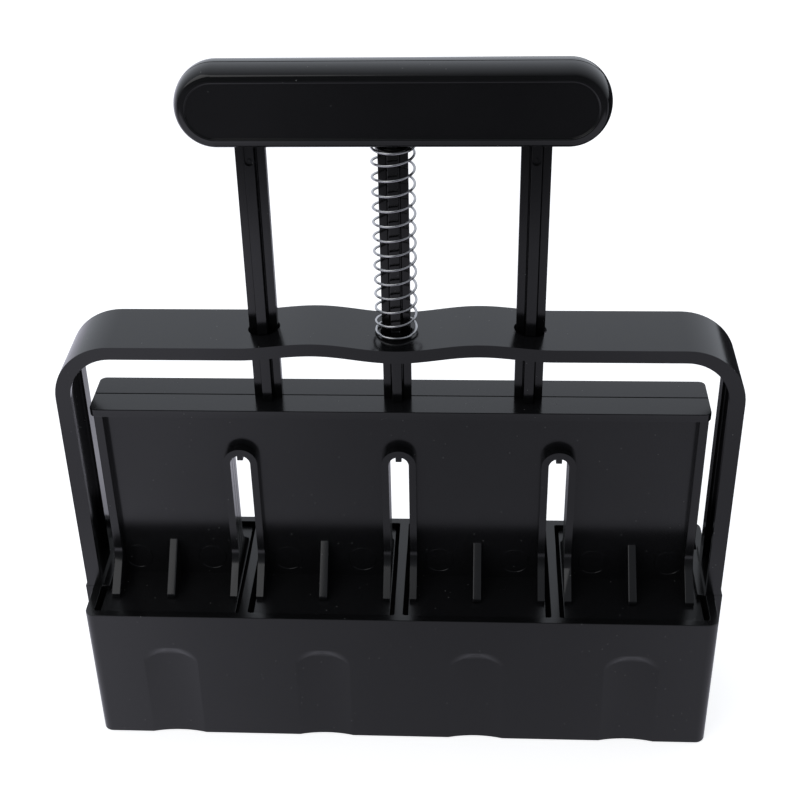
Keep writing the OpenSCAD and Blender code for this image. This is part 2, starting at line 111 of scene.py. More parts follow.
class Maker:
    # a node tree and the one way of adding nodes to it

    def __init__(self, tree):
        self.tree = tree

    def node(self, kind, settings=None, values=None, out=0):
        made = self.tree.nodes.new(kind)
        for key, value in (settings or {}).items():
            setattr(made, key, value)
        for key, value in (values or {}).items():
            if isinstance(value, Value):
                self.tree.links.new(value.socket, made.inputs[key])
            else:
                made.inputs[key].default_value = value
        return Value(self, made.outputs[out]) if made.outputs else None

    def mix(self, share, first, second):
        # a colour mix has its factor in socket 0, its colours in 6 and 7 and its result in 2
        return self.node("ShaderNodeMix", {"data_type": "RGBA"}, {0: share, 6: first, 7: second}, out=2)

    def noise(self, size, place, detail):
        return self.node("ShaderNodeTexNoise", None,
                         {"Vector": place, "Scale": 1 / (size * mm), "Detail": detail, "Roughness": 0.5})

    def fit(self, value, low, high, toLow=0.0, toHigh=1.0):
        # maps low and high onto toLow and toHigh, and stays level beyond them
        return self.node("ShaderNodeMapRange", {"clamp": True},
                         {0: value, 1: low, 2: high, 3: toLow, 4: toHigh})

    def surface(self, height, values):
        # closes a material: its relief, whose height is in metres, and its surface
        relief = {"Strength": 1.0, "Distance": 1.0, "Height": height}
        skin = {**values, "Normal": self.node("ShaderNodeBump", None, relief)}
        self.node("ShaderNodeOutputMaterial", None,
                  {"Surface": self.node("ShaderNodeBsdfPrincipled", None, skin)})


def newMaterial(name):
    material = bpy.data.materials.new(name)
    material.use_nodes = True
    material.node_tree.nodes.clear()
    return material, Maker(material.node_tree)


# black moulded plastic: satin skin, faint orange peel, flow marks, a little dust
plastic = {
    "colour": (0.0040, 0.0040, 0.0043, 1),
    "flowColour": (0.0056, 0.0056, 0.0060, 1),
    "flowSize": 26,
    "flowRange": (0.35, 0.7),  # of the noise
    "roughness": 0.17,
    "roughnessSwing": 0.06,
    "patchSize": 7,
    "ior": 1.5,
    "peelSize": 2.2,
    "peelHeight": 0.0022,
    "grainSize": 0.16,
    "grainHeight": 0.0004,
    "dustColour": (0.16, 0.16, 0.155, 1),
    "dustSpacing": 3.3,
    "dustReach": 0.055,  # a speck's radius as a share of the spacing
    "dustPatch": 19,
    "dustFrom": 0.46,  # noise below this leaves a patch clean
    "dustShare": 0.80,
    "dustRoughness": 0.4,
}


def mouldedPlastic(name, **changes):
    s = {**plastic, **changes}
    material, make = newMaterial(name)
    place = make.node("ShaderNodeTexCoord", out="Object")
    flow = make.noise(s["flowSize"], place, 3)
    patch = make.noise(s["patchSize"], place, 3)
    peel = make.noise(s["peelSize"], place, 2)
    grain = make.noise(s["grainSize"], place, 1)
    speck = make.node("ShaderNodeTexVoronoi", {"feature": "F1"},
                      {"Vector": place, "Scale": 1 / (s["dustSpacing"] * mm), "Randomness": 1.0})
    scatter = make.noise(s["dustPatch"], place, 2)
    dust = (speck < s["dustReach"]) * (scatter > s["dustFrom"]) * s["dustShare"]
    colour = make.mix(make.fit(flow, *s["flowRange"]), s["colour"], s["flowColour"])
    colour = make.mix(dust, colour, s["dustColour"])
    roughness = s["roughness"] + (patch - 0.5) * s["roughnessSwing"] + dust * s["dustRoughness"]
    height = peel * (s["peelHeight"] * mm) + grain * (s["grainHeight"] * mm)
    make.surface(height, {"Base Color": colour, "Roughness": roughness, "IOR": s["ior"]})
    return material


# bright metal: drawn wire and plated screws
metal = {
    "colour": (0.62, 0.62, 0.63, 1),
    "dullColour": (0.44, 0.44, 0.45, 1),
    "dullSize": 3.2,
    "dullRange": (0.35, 0.72),  # of the noise
    "roughness": 0.2,
    "roughnessSwing": 0.22,
    "scratchSize": 0.25,
    "scratchHeight": 0.004,
}


def brightMetal(name, **changes):
    s = {**metal, **changes}
    material, make = newMaterial(name)
    place = make.node("ShaderNodeTexCoord", out="Object")
    cloud = make.noise(s["dullSize"], place, 3)
    fine = make.noise(s["scratchSize"], place, 2)
    colour = make.mix(make.fit(cloud, *s["dullRange"]), s["colour"], s["dullColour"])
    roughness = s["roughness"] + (cloud - 0.5) * s["roughnessSwing"]
    make.surface(fine * (s["scratchHeight"] * mm),
                 {"Base Color": colour, "Metallic": 1.0, "Roughness": roughness})
    return material


finishes = {
    "mould_plastic": mouldedPlastic("mouldPlastic", roughness=0.19),
    "yoke_plastic": mouldedPlastic("yokePlastic", roughness=0.17),
    "handle_plastic": mouldedPlastic("handlePlastic", roughness=0.13, peelHeight=0.0014),
    "rod_plastic": mouldedPlastic("rodPlastic", roughness=0.15),
    "carriage_plastic": mouldedPlastic("carriagePlastic", roughness=0.18,
                                       colour=(0.0088, 0.0088, 0.0096, 1),
                                       flowColour=(0.0108, 0.0108, 0.0116, 1)),
    "plate_plastic": mouldedPlastic("platePlastic", roughness=0.26,
                                    colour=(0.0070, 0.0070, 0.0075, 1),
                                    flowColour=(0.0085, 0.0085, 0.0092, 1)),
    "spring_steel": brightMetal("springSteel"),
    "screw_steel": brightMetal("screwSteel", colour=(0.5, 0.5, 0.52, 1), roughness=0.28),
}
nodeSlots = {p["node"]: p["material_slot"] for p in frame["record"]["subparts"]}
for nodeName, cadNode in frame["nodes"].items():
    cadNode.data.materials.clear()
    cadNode.data.materials.append(finishes[nodeSlots[nodeName]])
print("materials made:", len(finishes))


def toSpace(u, v, w, axis):
    return {"z": (u, v, w), "y": (u, w, v), "x": (w, u, v)}[axis]


def arc(cu, cv, ru, rv, start, end, steps):
    turn = [math.radians(start + (end - start) * i / steps) for i in range(steps + 1)]
    return [(cu + ru * math.cos(a), cv + rv * math.sin(a)) for a in turn]


def circle(cu, cv, radius, sides):
    return arc(cu, cv, radius, radius, 0, 360 * (sides - 1) / sides, sides - 1)


def roundedBox(width, depth, radius, steps=6, centre=(0, 0)):
    x, y = width / 2 - radius, depth / 2 - radius
    corners = [(x, y, 0), (-x, y, 90), (-x, -y, 180), (x, -y, 270)]
    return [(centre[0] + u, centre[1] + v) for cx, cy, a in corners
            for u, v in arc(cx, cy, radius, radius, a, a + 90, steps)]


def span(side, near, far):
    # both ends of a solid that lies to one side (1 or -1) of the middle, the lower first
    return sorted((side * near, side * far))


def isSharp(edge, angle):
    return len(edge.link_faces) == 2 and edge.calc_face_angle(0) > math.radians(angle)


def bevelEdges(mesh, width, steps=2, angle=32):
    bmesh.ops.bevel(mesh, geom=[e for e in mesh.edges if isSharp(e, angle)], offset=width,
                    offset_type="OFFSET", segments=steps, profile=0.5, affect="EDGES",
                    clamp_overlap=True)


class Solid:
    # closed solids in millimetres, gathered into one object in metres

    def __init__(self):
        self.mesh = bmesh.new()

    def gather(self, part):
        held = bpy.data.meshes.new("held")
        part.to_mesh(held)
        part.free()
        self.mesh.from_mesh(held)
        bpy.data.meshes.remove(held)
        return self

    def take(self, part, edge=0.0, **bevel):
        bmesh.ops.remove_doubles(part, verts=part.verts, dist=1e-5)
        bmesh.ops.recalc_face_normals(part, faces=part.faces)
        if edge:
            bevelEdges(part, edge, **bevel)
        return self.gather(part)

    def add(self, other):
        return self.gather(other.mesh)

    def prism(self, outline, low, high, axis="z", edge=0.0, **bevel):
        part = bmesh.new()
        base = [part.verts.new(toSpace(u, v, low, axis)) for u, v in outline]
        far = [part.verts.new(toSpace(u, v, high, axis)) for u, v in outline]
        part.faces.new(base)
        part.faces.new(far[::-1])
        for i in range(len(outline)):
            j = (i + 1) % len(outline)
            part.faces.new((base[i], far[i], far[j], base[j]))
        return self.take(part, edge, **bevel)

    def block(self, low, high, edge=0.0):
        outline = [(low[0], low[1]), (high[0], low[1]), (high[0], high[1]), (low[0], high[1])]
        return self.prism(outline, low[2], high[2], "z", edge)

    def loft(self, rings):
        part = bmesh.new()
        rows = [[part.verts.new(p) for p in ring] for ring in rings]
        count = len(rows[0])
        for a, b in zip(rows, rows[1:]):
            for i in range(count):
                j = (i + 1) % count
                part.faces.new((a[i], a[j], b[j], b[i]))
        part.faces.new(rows[0][::-1])
        part.faces.new(rows[-1])
        return self.take(part)

    def turned(self, profile, centre, axis="z", sides=32, flip=1):
        # profile of (radius, height), from one end of the axis to the other
        middle = Vector(centre)
        return self.loft([[middle + Vector(toSpace(u, v, flip * height, axis))
                           for u, v in circle(0, 0, radius, sides)] for radius, height in profile])

    def cut(self, tool, operation="DIFFERENCE"):
        body, other = self.plain("cutBody"), tool.plain("cutTool")
        step = body.modifiers.new("cut", "BOOLEAN")
        step.operation, step.solver, step.object = operation, "EXACT", other
        graph = bpy.context.evaluated_depsgraph_get()
        result = bpy.data.meshes.new_from_object(body.evaluated_get(graph))
        self.mesh = bmesh.new()
        self.mesh.from_mesh(result)
        for piece in (body, other):
            bpy.data.objects.remove(piece)
        bmesh.ops.remove_doubles(self.mesh, verts=self.mesh.verts, dist=1e-4)
        bmesh.ops.dissolve_degenerate(self.mesh, edges=self.mesh.edges, dist=1e-4)
        return self

    def soften(self, edge):
        bevelEdges(self.mesh, edge)
        return self

    def mirrorY(self):
        bmesh.ops.scale(self.mesh, vec=(1, -1, 1), verts=self.mesh.verts)
        bmesh.ops.reverse_faces(self.mesh, faces=self.mesh.faces)
        return self

    def plain(self, name):
        data = bpy.data.meshes.new(name)
        self.mesh.to_mesh(data)
        piece = bpy.data.objects.new(name, data)
        scene.collection.objects.link(piece)
        return piece

    def finish(self, name, body, node, angle=38):
        bmesh.ops.scale(self.mesh, vec=(mm, mm, mm), verts=self.mesh.verts)
        for face in self.mesh.faces:
            face.smooth = True
        for edge in self.mesh.edges:
            edge.smooth = not isSharp(edge, angle)
        piece = self.plain(name)
        weigh = piece.modifiers.new("faceWeight", "WEIGHTED_NORMAL")
        weigh.keep_sharp = True
        piece.data.materials.append(finishes[nodeSlots[node]])
        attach(piece, body)
        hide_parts(node)
        return piece


mould = {
    "width": 212.0, "depth": 57.0, "height": 53.4, "cornerRadius": 3.5, "wall": 3.0, "edge": 0.3,
    "cellWidth": 49.1, "cellDepth": 51.0, "cellRadius": 0.6, "pitch": 52.3,
    "socketOut": 2.8, "socketDepth": 25.0, "socketHeight": 30.0, "socketIn": 1.0,
    "stopWide": 2.7, "stopLow": 51.5, "stopIn": 0.5,
    "recessWidth": 18.8, "recessHeight": 39.8, "recessRadius": 7.6, "recessDepth": 1.2,
    "recessEdge": 0.4, "recessFlat": 0.2,  # half of what stays flat on top of a narrow arch
    # (depth, how much narrower the recess is there)
    "recessBlend": [(-1.0, -1.0), (0.0, 0.0), (0.05, 0.35), (0.15, 0.7), (0.3, 1.1), (0.5, 1.5),
                    (0.75, 1.95), (0.95, 2.5), (1.1, 3.2), (1.3, 4.6)],
    "toolOver": 2.0, "bowOver": 3.0, "bowWider": 1.0,  # how far tools pass what they cut
}
cellCentres = [(i - 1.5) * mould["pitch"] for i in range(4)]
dividerCentres = [(i - 1) * mould["pitch"] for i in range(3)]


def recessTool(s, x, side):
    # an arch-topped slab of the wall's face, narrower inwards, hollowed like part of an upright cylinder
    half, top, deep = s["recessWidth"] / 2, s["recessHeight"], s["recessDepth"]
    hollow = (half * half + deep * deep) / (2 * deep)
    reach, face = half + s["recessEdge"], side * s["depth"] / 2
    rings = []
    for inward, less in s["recessBlend"]:
        wide, high = reach - less, top - less
        turn = min(s["recessRadius"], wide - s["recessFlat"])
        ring = [(x - wide, -s["toolOver"]), (x + wide, -s["toolOver"])]
        ring += arc(x + wide - turn, high - turn, turn, turn, 0, 90, 12)
        ring += arc(x - wide + turn, high - turn, turn, turn, 90, 180, 12)
        rings.append([(u, face - side * inward, w) for u, w in ring])
    slab = Solid().loft(rings)
    spread = math.degrees(math.asin((reach + s["bowWider"]) / hollow))
    middle, outward = face + side * (hollow - deep), -side * 90
    bow = arc(x, middle, hollow, hollow, outward - spread, outward + spread, 32)
    bow += [(u, face + side * s["bowOver"]) for u in (bow[-1][0], bow[0][0])]
    return slab.cut(Solid().prism(bow, -s["bowOver"], top + s["bowOver"]), "INTERSECT")


def makeMouldBox(s):
    halfWidth, halfSocket, over = s["width"] / 2, s["socketDepth"] / 2, s["toolOver"]
    box = Solid().prism(roundedBox(s["width"], s["depth"], s["cornerRadius"], 8), 0, s["height"])
    for side in (-1, 1):
        low, high = span(side, halfWidth + s["socketOut"], halfWidth - s["socketIn"])
        box.cut(Solid().block((low, -halfSocket, s["height"] - s["socketHeight"]),
                              (high, halfSocket, s["height"])), "UNION")
    cells, recesses, stops = Solid(), Solid(), Solid()
    for x in cellCentres:
        outline = roundedBox(s["cellWidth"], s["cellDepth"], s["cellRadius"], 3, (x, 0))
        cells.prism(outline, -over, s["height"] + over)
        for side in (-1, 1):
            recesses.add(recessTool(s, x, side))
    for side in (-1, 1):
        wall = halfWidth - s["wall"]
        low, high = span(side, wall - s["stopWide"], wall + s["stopIn"])
        stops.block((low, -halfSocket, s["stopLow"]), (high, halfSocket, s["height"]))
    box.cut(cells).cut(recesses).cut(stops, "UNION").soften(s["edge"])
    return box.finish("mouldBox", "mould", "mould_box")


makeMouldBox(mould)
print("mould box made")

yoke = {
    "top": 148.3, "depth": 25.0, "strap": 4.3, "leg": 4.9, "outerX": 108.1, "foot": 53.4, "edge": 0.45,
    "radius": 19.0, "cornerSteps": 16,
    "waveUp": 1.65, "waveDown": 0.75, "waveX": 26.0, "waveRun": 23.0, "waveSteps": 72,
    "rodX": 41.65, "rodHole": 5.1, "holeDown": 9.0, "holeUp": 4.0,  # from the strap's top
    # the channel in each leg, and the land and the step on its back rail
    "channelLow": 55.0, "channelEnd": 10.3, "channelSteps": 14, "skin": 1.5,
    "frontRail": 2.1, "backRail": 5.3, "backLand": 1.0, "landDeep": 1.5, "toolOver": 2.0,
    "stepBack": 1.0, "stepX": 105.3, "stepInside": 1.3,
    "tongueX": (105.0, 107.3), "tongueY": 9.0, "tongueZ": (31.4, 54.4), "tongueEdge": 0.2,
    "screwX": 108.75, "screwY": 5.0, "screwZ": 41.4, "screwLong": 4.5,
}


def wave(x):
    # height of the strap's grip waves over its plain level
    s, x = yoke, abs(x)
    if x > s["waveX"] + s["waveRun"]:
        return 0.0
    if x > s["waveX"]:
        return s["waveUp"] * (1 + math.cos(math.pi * (x - s["waveX"]) / s["waveRun"])) / 2
    swing = math.cos(math.pi * (s["waveX"] - x) / s["waveX"])
    return (s["waveUp"] - s["waveDown"] + (s["waveUp"] + s["waveDown"]) * swing) / 2


def legCut(s, x, height, top, side):
    # the channel in a leg, or the land on its back rail, running up into the corner
    cx, cz = s["outerX"] - s["radius"], s["top"] - s["radius"]
    turn = math.degrees(math.asin(min(1, (top - cz) / height)))
    outline = [(cx, s["channelLow"]), (x, s["channelLow"])]
    outline += arc(cx, cz, x - cx, height, 0, turn, s["channelSteps"])
    outline.append((cx - 1, cz + height * math.sin(math.radians(turn))))
    return [(side * u, v) for u, v in outline]


def hoopOutline(s):
    x, r, steps = s["outerX"], s["radius"], s["cornerSteps"]
    cx, cz, inX, inZ = x - r, s["top"] - r, r - s["leg"], r - s["strap"]
    end = s["waveX"] + s["waveRun"]
    stations = [end * (2 * i / s["waveSteps"] - 1) for i in range(s["waveSteps"] + 1)]
    outline = [(-x, s["foot"])] + arc(-cx, cz, r, r, 180, 90, steps)
    outline += [(u, s["top"] + wave(u)) for u in stations]
    outline += arc(cx, cz, r, r, 90, 0, steps) + [(x, s["foot"]), (x - s["leg"], s["foot"])]
    outline += arc(cx, cz, inX, inZ, 0, 90, steps)
    outline += [(u, s["top"] - s["strap"] + wave(u)) for u in reversed(stations)]
    return outline + arc(-cx, cz, inX, inZ, 90, 180, steps) + [(-x + s["leg"], s["foot"])]


def makeYoke(s):
    halfDepth, skinRadius, over = s["depth"] / 2, s["radius"] - s["skin"], s["toolOver"]
    front, back = -halfDepth + s["frontRail"], halfDepth - s["backRail"]
    channelTop = s["top"] - s["channelEnd"]
    hoop = Solid().prism(hoopOutline(s), -halfDepth, halfDepth, "y")
    tools, lands, steps = Solid(), Solid(), Solid()
    for x in (-s["rodX"], 0, s["rodX"]):
        tools.prism(circle(x, 0, s["rodHole"], 40), s["top"] - s["holeDown"], s["top"] + s["holeUp"])
    for side in (-1, 1):
        tools.prism(legCut(s, s["outerX"] - s["skin"], skinRadius, channelTop, side),
                    front, back - s["stepBack"], "y")
        lands.prism(legCut(s, s["outerX"] - s["leg"] + s["backLand"], s["radius"] - s["strap"],
                           s["top"] - s["strap"], side), back - s["landDeep"], halfDepth + over, "y")
        steps.prism(legCut(s, s["stepX"], skinRadius - s["stepInside"], channelTop, side),
                    front + over, back, "y")
    hoop.cut(tools).cut(lands).cut(steps).soften(s["edge"])
    for side in (-1, 1):
        low, high = span(side, *s["tongueX"])
        hoop.block((low, -s["tongueY"], s["tongueZ"][0]), (high, s["tongueY"], s["tongueZ"][1]),
                   s["tongueEdge"])
    return hoop.finish("yokeFrame", "mould", "yoke_frame")


makeYoke(yoke)
print("yoke made")

handle = {
    "length": 125.2, "height": 24.4, "middle": 222.55, "arcSteps": 40,
    "seam": 0.45, "seamHalf": 0.24,
    "ridgeInset": 2.3, "ridgeY": 6.9, "ridgeSteps": 12, "faceY": 7.2, "panelInset": 3.9, "panelY": 6.5,
    "lipWide": 0.9, "lipFall": 0.08, "panelSlope": 0.12, "panelRun": 1.5,  # the panel's raised lip
    "bends": [0.3, 0.4, 0.3, 0.16],
    "screwX": (-53, -21, 21, 53), "screwY": 6.45, "screwLong": 11,
    "hole": [(1.5, 0), (1.5, 5.2), (2.85, 6.3), (2.85, 9)],  # (radius, how far back)
}


def stadiumRing(length, height, y, middle, steps):
    r = height / 2
    c = length / 2 - r
    points = arc(c, middle, r, r, -90, 90, steps) + arc(-c, middle, r, r, 90, 270, steps)
    return [(x, y, z) for x, z in points]


def roundedProfile(points, radii, steps=3):
    # replaces each inner corner of a polyline by a short curve
    out = [points[0]]
    for a, b, c, r in zip(points, points[1:], points[2:], radii):
        p, q, n = Vector(a), Vector(b), Vector(c)
        start, end = q + (p - q).normalized() * r, q + (n - q).normalized() * r
        for i in range(steps + 1):
            t = i / steps
            out.append(tuple(start * (1 - t) ** 2 + q * 2 * t * (1 - t) + end * t ** 2))
    return out + [points[-1]]


def handleShell(s, side):
    # its profile runs from the seam over the rounded ridge and the lip down into the panel
    turns = [math.radians(90 * i / s["ridgeSteps"]) for i in range(1, s["ridgeSteps"])]
    crown = [(s["ridgeInset"] * (1 - math.cos(a)), s["ridgeY"] * math.sin(a)) for a in turns]
    lip = roundedProfile([crown[-1], (s["ridgeInset"], s["ridgeY"]),
                          (s["panelInset"] - s["lipWide"], s["faceY"] - s["lipFall"]),
                          (s["panelInset"], s["faceY"]),
                          (s["panelInset"] + s["panelSlope"], s["panelY"]),
                          (s["panelInset"] + s["panelRun"], s["panelY"])], s["bends"])
    seam = [(s["seam"], 0.0), (s["seam"], s["seamHalf"] / 2), (0.0, s["seamHalf"])]
    return Solid().loft([stadiumRing(s["length"] - 2 * i, s["height"] - 2 * i, side * y, s["middle"],
                                     s["arcSteps"]) for i, y in seam + crown[:-1] + lip])


def makeHandle(s):
    handleShell(s, -1).finish("handleFrontShell", "plunger", "handle_front_shell", 60)
    back, holes = handleShell(s, 1), Solid()
    for x in s["screwX"]:
        holes.turned(s["hole"], (x, 0, s["middle"]), "y")
    back.cut(holes).finish("handleBackShell", "plunger", "handle_back_shell", 50)


makeHandle(handle)
print("handle made")

rod = {
    "width": 8.9, "arm": 3.0, "notch": 0.26, "low": 123.9, "high": 212.0, "edge": 0.42,
    "bladeX": 3.5, "bladeY": 0.9, "bladeZ": (110.9, 124.5), "bladeEdge": 0.15,
    "pocketWidth": 2.7, "pocketLow": 205.0, "pocketDeep": 0.8, "toolOver": 2.0,
    "dotHeight": 206.4, "dot": [(0.62, -0.3), (0.62, 0.3), (0.5, 0.42)],  # over the pocket's floor
    "shoulderRadius": 5.3, "shoulderLow": 208.3, "shoulderHigh": 210.3,
    "shoulderEdge": 0.3, "shoulderInset": 0.5,
}


def crossOutline(width, arm, notch):
    # a cross with a fine groove along each inner corner
    w, a, n = width / 2, arm / 2, notch
    quarter = [(w, a), (a + 2 * n, a), (a + n, a - n), (a, a), (a, w)]
    half = quarter + [(-u, v) for u, v in reversed(quarter)]
    return half + [(-u, -v) for u, v in half]


def makeRod(s, name, node, x, shoulder):
    outline = [(x + u, v) for u, v in crossOutline(s["width"], s["arm"], s["notch"])]
    stem = Solid().prism(outline, s["low"], s["high"])
    half, top = s["pocketWidth"] / 2, s["high"] + s["toolOver"]
    floor = s["width"] / 2 - s["pocketDeep"]
    if not shoulder:
        pocket = [(x - half, top)] + arc(x, s["pocketLow"] + half, half, half, 180, 360, 10)
        pocket.append((x + half, top))
        tool = Solid()
        for side in (-1, 1):
            tool.prism(pocket, *span(side, floor, s["width"] / 2 + s["toolOver"]), "y")
        stem.cut(tool)
    stem.soften(s["edge"])
    stem.block((x - s["bladeX"], -s["bladeY"], s["bladeZ"][0]),
               (x + s["bladeX"], s["bladeY"], s["bladeZ"][1]), s["bladeEdge"])
    if shoulder:
        r, low, high, edge = s["shoulderRadius"], s["shoulderLow"], s["shoulderHigh"], s["shoulderEdge"]
        stem.turned([(r - edge, low), (r, low + edge), (r, high), (r - s["shoulderInset"], high)],
                    (x, 0, 0))
    else:
        dot = [(radius, floor + out) for radius, out in s["dot"]]
        for side in (-1, 1):
            stem.turned(dot, (x, 0, s["dotHeight"]), "y", 20, side)
    return stem.finish(name, "plunger", node)


makeRod(rod, "leftRod", "left_rod", -yoke["rodX"], False)
makeRod(rod, "centreRod", "centre_rod", 0, True)
makeRod(rod, "rightRod", "right_rod", yoke["rodX"], False)
print("rods made")

spring = {
    "radius": 6.3, "wire": 0.8, "turns": 13.63, "flatTurns": 0.5, "startAngle": 133,
    "seatGap": 0.06, "handleLow": 210.35, "stepsPerTurn": 36, "sides": 14, "stroke": 47.6,
}


def makeSpring(s):
    d = s["wire"]
    startX = s["radius"] * math.cos(math.radians(s["startAngle"]))
    seat = yoke["top"] + wave(startX) + s["seatGap"]
    low, high = seat + d, s["handleLow"] - s["seatGap"] - d
    pitch = (high - low) / (s["turns"] - 2 * s["flatTurns"])
    count = round(s["turns"] * s["stepsPerTurn"])
    path = [(s["startAngle"], seat)]  # (angle, height), with a short upright end at both seats
    for i in range(count + 1):
        t = s["turns"] * i / count
        rise = min(max(t, s["flatTurns"]), s["turns"] - s["flatTurns"]) - s["flatTurns"]
        path.append((s["startAngle"] + 360 * t, low + pitch * rise))
    path.append((path[-1][0], high + d))
    points = [Vector((s["radius"] * math.cos(math.radians(a)), s["radius"] * math.sin(math.radians(a)), z))
              for a, z in path]
    rings = []
    for i, point in enumerate(points):
        ahead = (points[min(i + 1, len(points) - 1)] - point).normalized()
        behind = (point - points[max(i - 1, 0)]).normalized()
        along = Vector((0, 0, 1)) if i in (0, len(points) - 1) else (ahead + behind).normalized()
        out = Vector((point.x, point.y, 0)).normalized()
        side = along.cross(out).normalized()
        up = side.cross(along)
        rings.append([point + (up * math.cos(a) + side * math.sin(a)) * d / 2
                      for a in (2 * math.pi * k / s["sides"] for k in range(s["sides"]))])
    coil = Solid().loft(rings).finish("returnSpring", "mould", "return_spring", 60)
    length = s["handleLow"] - seat
    seat * mm
    (length - s["stroke"]) / length
    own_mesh(coil)


makeSpring(spring)
print("spring made")

carriage = {
    "webX": 98.9, "webY": 2.0, "low": 51.4, "edge": 0.25, "seam": 0.12,
    "flangeLow": 121.2, "flangeHigh": 123.9, "flangeY": 10.1, "flangeRadius": 2.2,
    "rib": 2.9, "ribY": 5.5, "footY": 16.4, "footHigh": 1.4, "footSlope": 40.0, "flareRadius": 7.0,
    "slotHalf": 3.3, "rimHalf": 5.65, "archZ": 100.1, "slotSteps": 20, "rimSteps": 28,
    "rimUp": 9.0, "ribBelow": 20.0,  # rim from the low end, rib from the arch's centre
    "nibHalf": 1.0, "nibY": 5.0, "nibDrop": 2.2, "nibEdge": 0.18,
    "gusset": 3.0, "gussetHigh": 15.0, "gussetEdge": 0.5, "gussetOut": 0.15, "gussetFall": 0.2,
    "plugRadius": 4.75, "plugX": 12.9, "plugZ": 58.5, "plugGap": 0.05,
    # (radius beyond its own, depth from the web's face)
    "plugHole": [(0.0, 0.9), (0.0, 0.1), (0.12, -0.02), (0.12, -0.5)],
    "plugEnd": [(-0.12, 0.0), (-0.03, 0.03), (0.0, 0.1)],
    "webIn": 1.0, "ribIn": 0.6, "rimIn": 0.5,  # how far joined solids reach into each other
}
plugCentres = [(x + side * carriage["plugX"], 0, carriage["plugZ"])
               for x in cellCentres for side in (-1, 1)]


def ribOutline(s, top, inner=0.0):
    # a rib that flares out into a sloping foot
    turn = math.radians(90 - s["footSlope"])
    run = s["flareRadius"] * (1 - math.cos(turn))
    rise = (s["footY"] - s["ribY"] - run) * math.tan(math.radians(s["footSlope"]))
    flareZ = s["low"] + s["footHigh"] + rise + s["flareRadius"] * math.sin(turn)
    curve = [(-s["ribY"] - s["flareRadius"] * (1 - math.cos(turn * (1 - i / 12))),
              flareZ - s["flareRadius"] * math.sin(turn * (1 - i / 12))) for i in range(13)]
    toe = [(-s["footY"], s["low"]), (-s["footY"], s["low"] + s["footHigh"])]
    return [(-inner, s["low"])] + toe + curve + [(-s["ribY"], top), (-inner, top)]


def flangeOutline(s):
    x, y, r = s["webX"], s["flangeY"], s["flangeRadius"]
    return arc(-x + r, -y + r, r, r, 180, 270, 8) + arc(x - r, -y + r, r, r, 270, 360, 8) \
        + [(x, -s["seam"]), (-x, -s["seam"])]


def webOutline(s):
    # open at the bottom for the three slots
    x, top = s["webX"], s["flangeLow"] + s["webIn"]
    web = [(-x, s["low"])]
    for middle in dividerCentres:
        web.append((middle - s["slotHalf"], s["low"]))
        web += arc(middle, s["archZ"], s["slotHalf"], s["slotHalf"], 180, 0, s["slotSteps"])
        web.append((middle + s["slotHalf"], s["low"]))
    return web + [(x, s["low"]), (x, top), (-x, top)]


def slotRim(s, x):
    # one band up one side of the slot, over the arch and down the other, on two ribs with feet
    low = s["low"] + s["rimUp"]
    outer, inner = s["rimHalf"], s["slotHalf"]
    band = [(x - outer, low)] + arc(x, s["archZ"], outer, outer, 180, 0, s["rimSteps"])
    band += [(x + outer, low), (x + inner, low)]
    band += arc(x, s["archZ"], inner, inner, 0, 180, s["rimSteps"]) + [(x - inner, low)]
    rim, ribs = Solid().prism(band, -s["ribY"], -s["webY"] + s["rimIn"], "y"), Solid()
    for side in (-1, 1):
        outline = ribOutline(s, s["archZ"] - s["ribBelow"], s["webY"] - s["rimIn"])
        ribs.prism(outline, *sorted((x + side * inner, x + side * outer)), "x")
    return rim.cut(ribs, "UNION").soften(s["edge"])


def makeCarriageHalf(s):
    half = Solid().prism(webOutline(s), -s["webY"], 0.0, "y")
    holes = Solid()
    hole = [(s["plugRadius"] + s["plugGap"] + out, deep - s["webY"]) for out, deep in s["plugHole"]]
    for place in plugCentres:
        holes.turned(hole, place, "y", 48)
    half.cut(holes)
    half.prism(flangeOutline(s), s["flangeLow"], s["flangeHigh"], "z", s["edge"], angle=40)
    for side in (-1, 1):
        half.prism(ribOutline(s, s["flangeLow"] + s["ribIn"]),
                   *span(side, s["webX"], s["webX"] - s["rib"]), "x", s["edge"])
    archTop = s["archZ"] + s["slotHalf"]
    for x in dividerCentres:
        half.add(slotRim(s, x))
        half.block((x - s["nibHalf"], -s["nibY"], archTop - s["nibDrop"]),
                   (x + s["nibHalf"], 0, archTop + s["ribIn"]), s["nibEdge"])
    top = s["low"] + s["gussetHigh"]
    outline = [(0, s["low"]), (-s["footY"], s["low"]), (-s["footY"], s["low"] + s["footHigh"]),
               (-s["webY"] - s["gussetOut"], top), (0, top - s["gussetFall"])]
    for x in cellCentres:
        half.prism(outline, x - s["gusset"] / 2, x + s["gusset"] / 2, "x", s["gussetEdge"], steps=3)
    return half


def makeCarriage(s):
    makeCarriageHalf(s).finish("carriageFrontShell", "plunger", "carriage_front_shell")
    makeCarriageHalf(s).mirrorY().finish("carriageBackShell", "plunger", "carriage_back_shell")
    end = [(s["plugRadius"] + out, deep - s["webY"]) for out, deep in s["plugEnd"]]
    profile = end + [(radius, -height) for radius, height in reversed(end)]
    plugs = Solid()
    for place in plugCentres:
        plugs.turned(profile, place, "y", 48)
    plugs.finish("carriagePlugs", "plunger", "carriage_plugs", 50)


makeCarriage(carriage)
print("carriage made")

plate = {
    "width": 46.3, "depth": 50.3, "low": 49.2, "high": 51.4, "corner": 0.8, "edge": 0.25,
    "pinRadius": 4.5, "pinLong": 6.0, "tipRadius": 3.0, "tipRound": 0.8, "tipSteps": 5,
    "shankRadius": 1.3, "shankLong": 9.0,
}


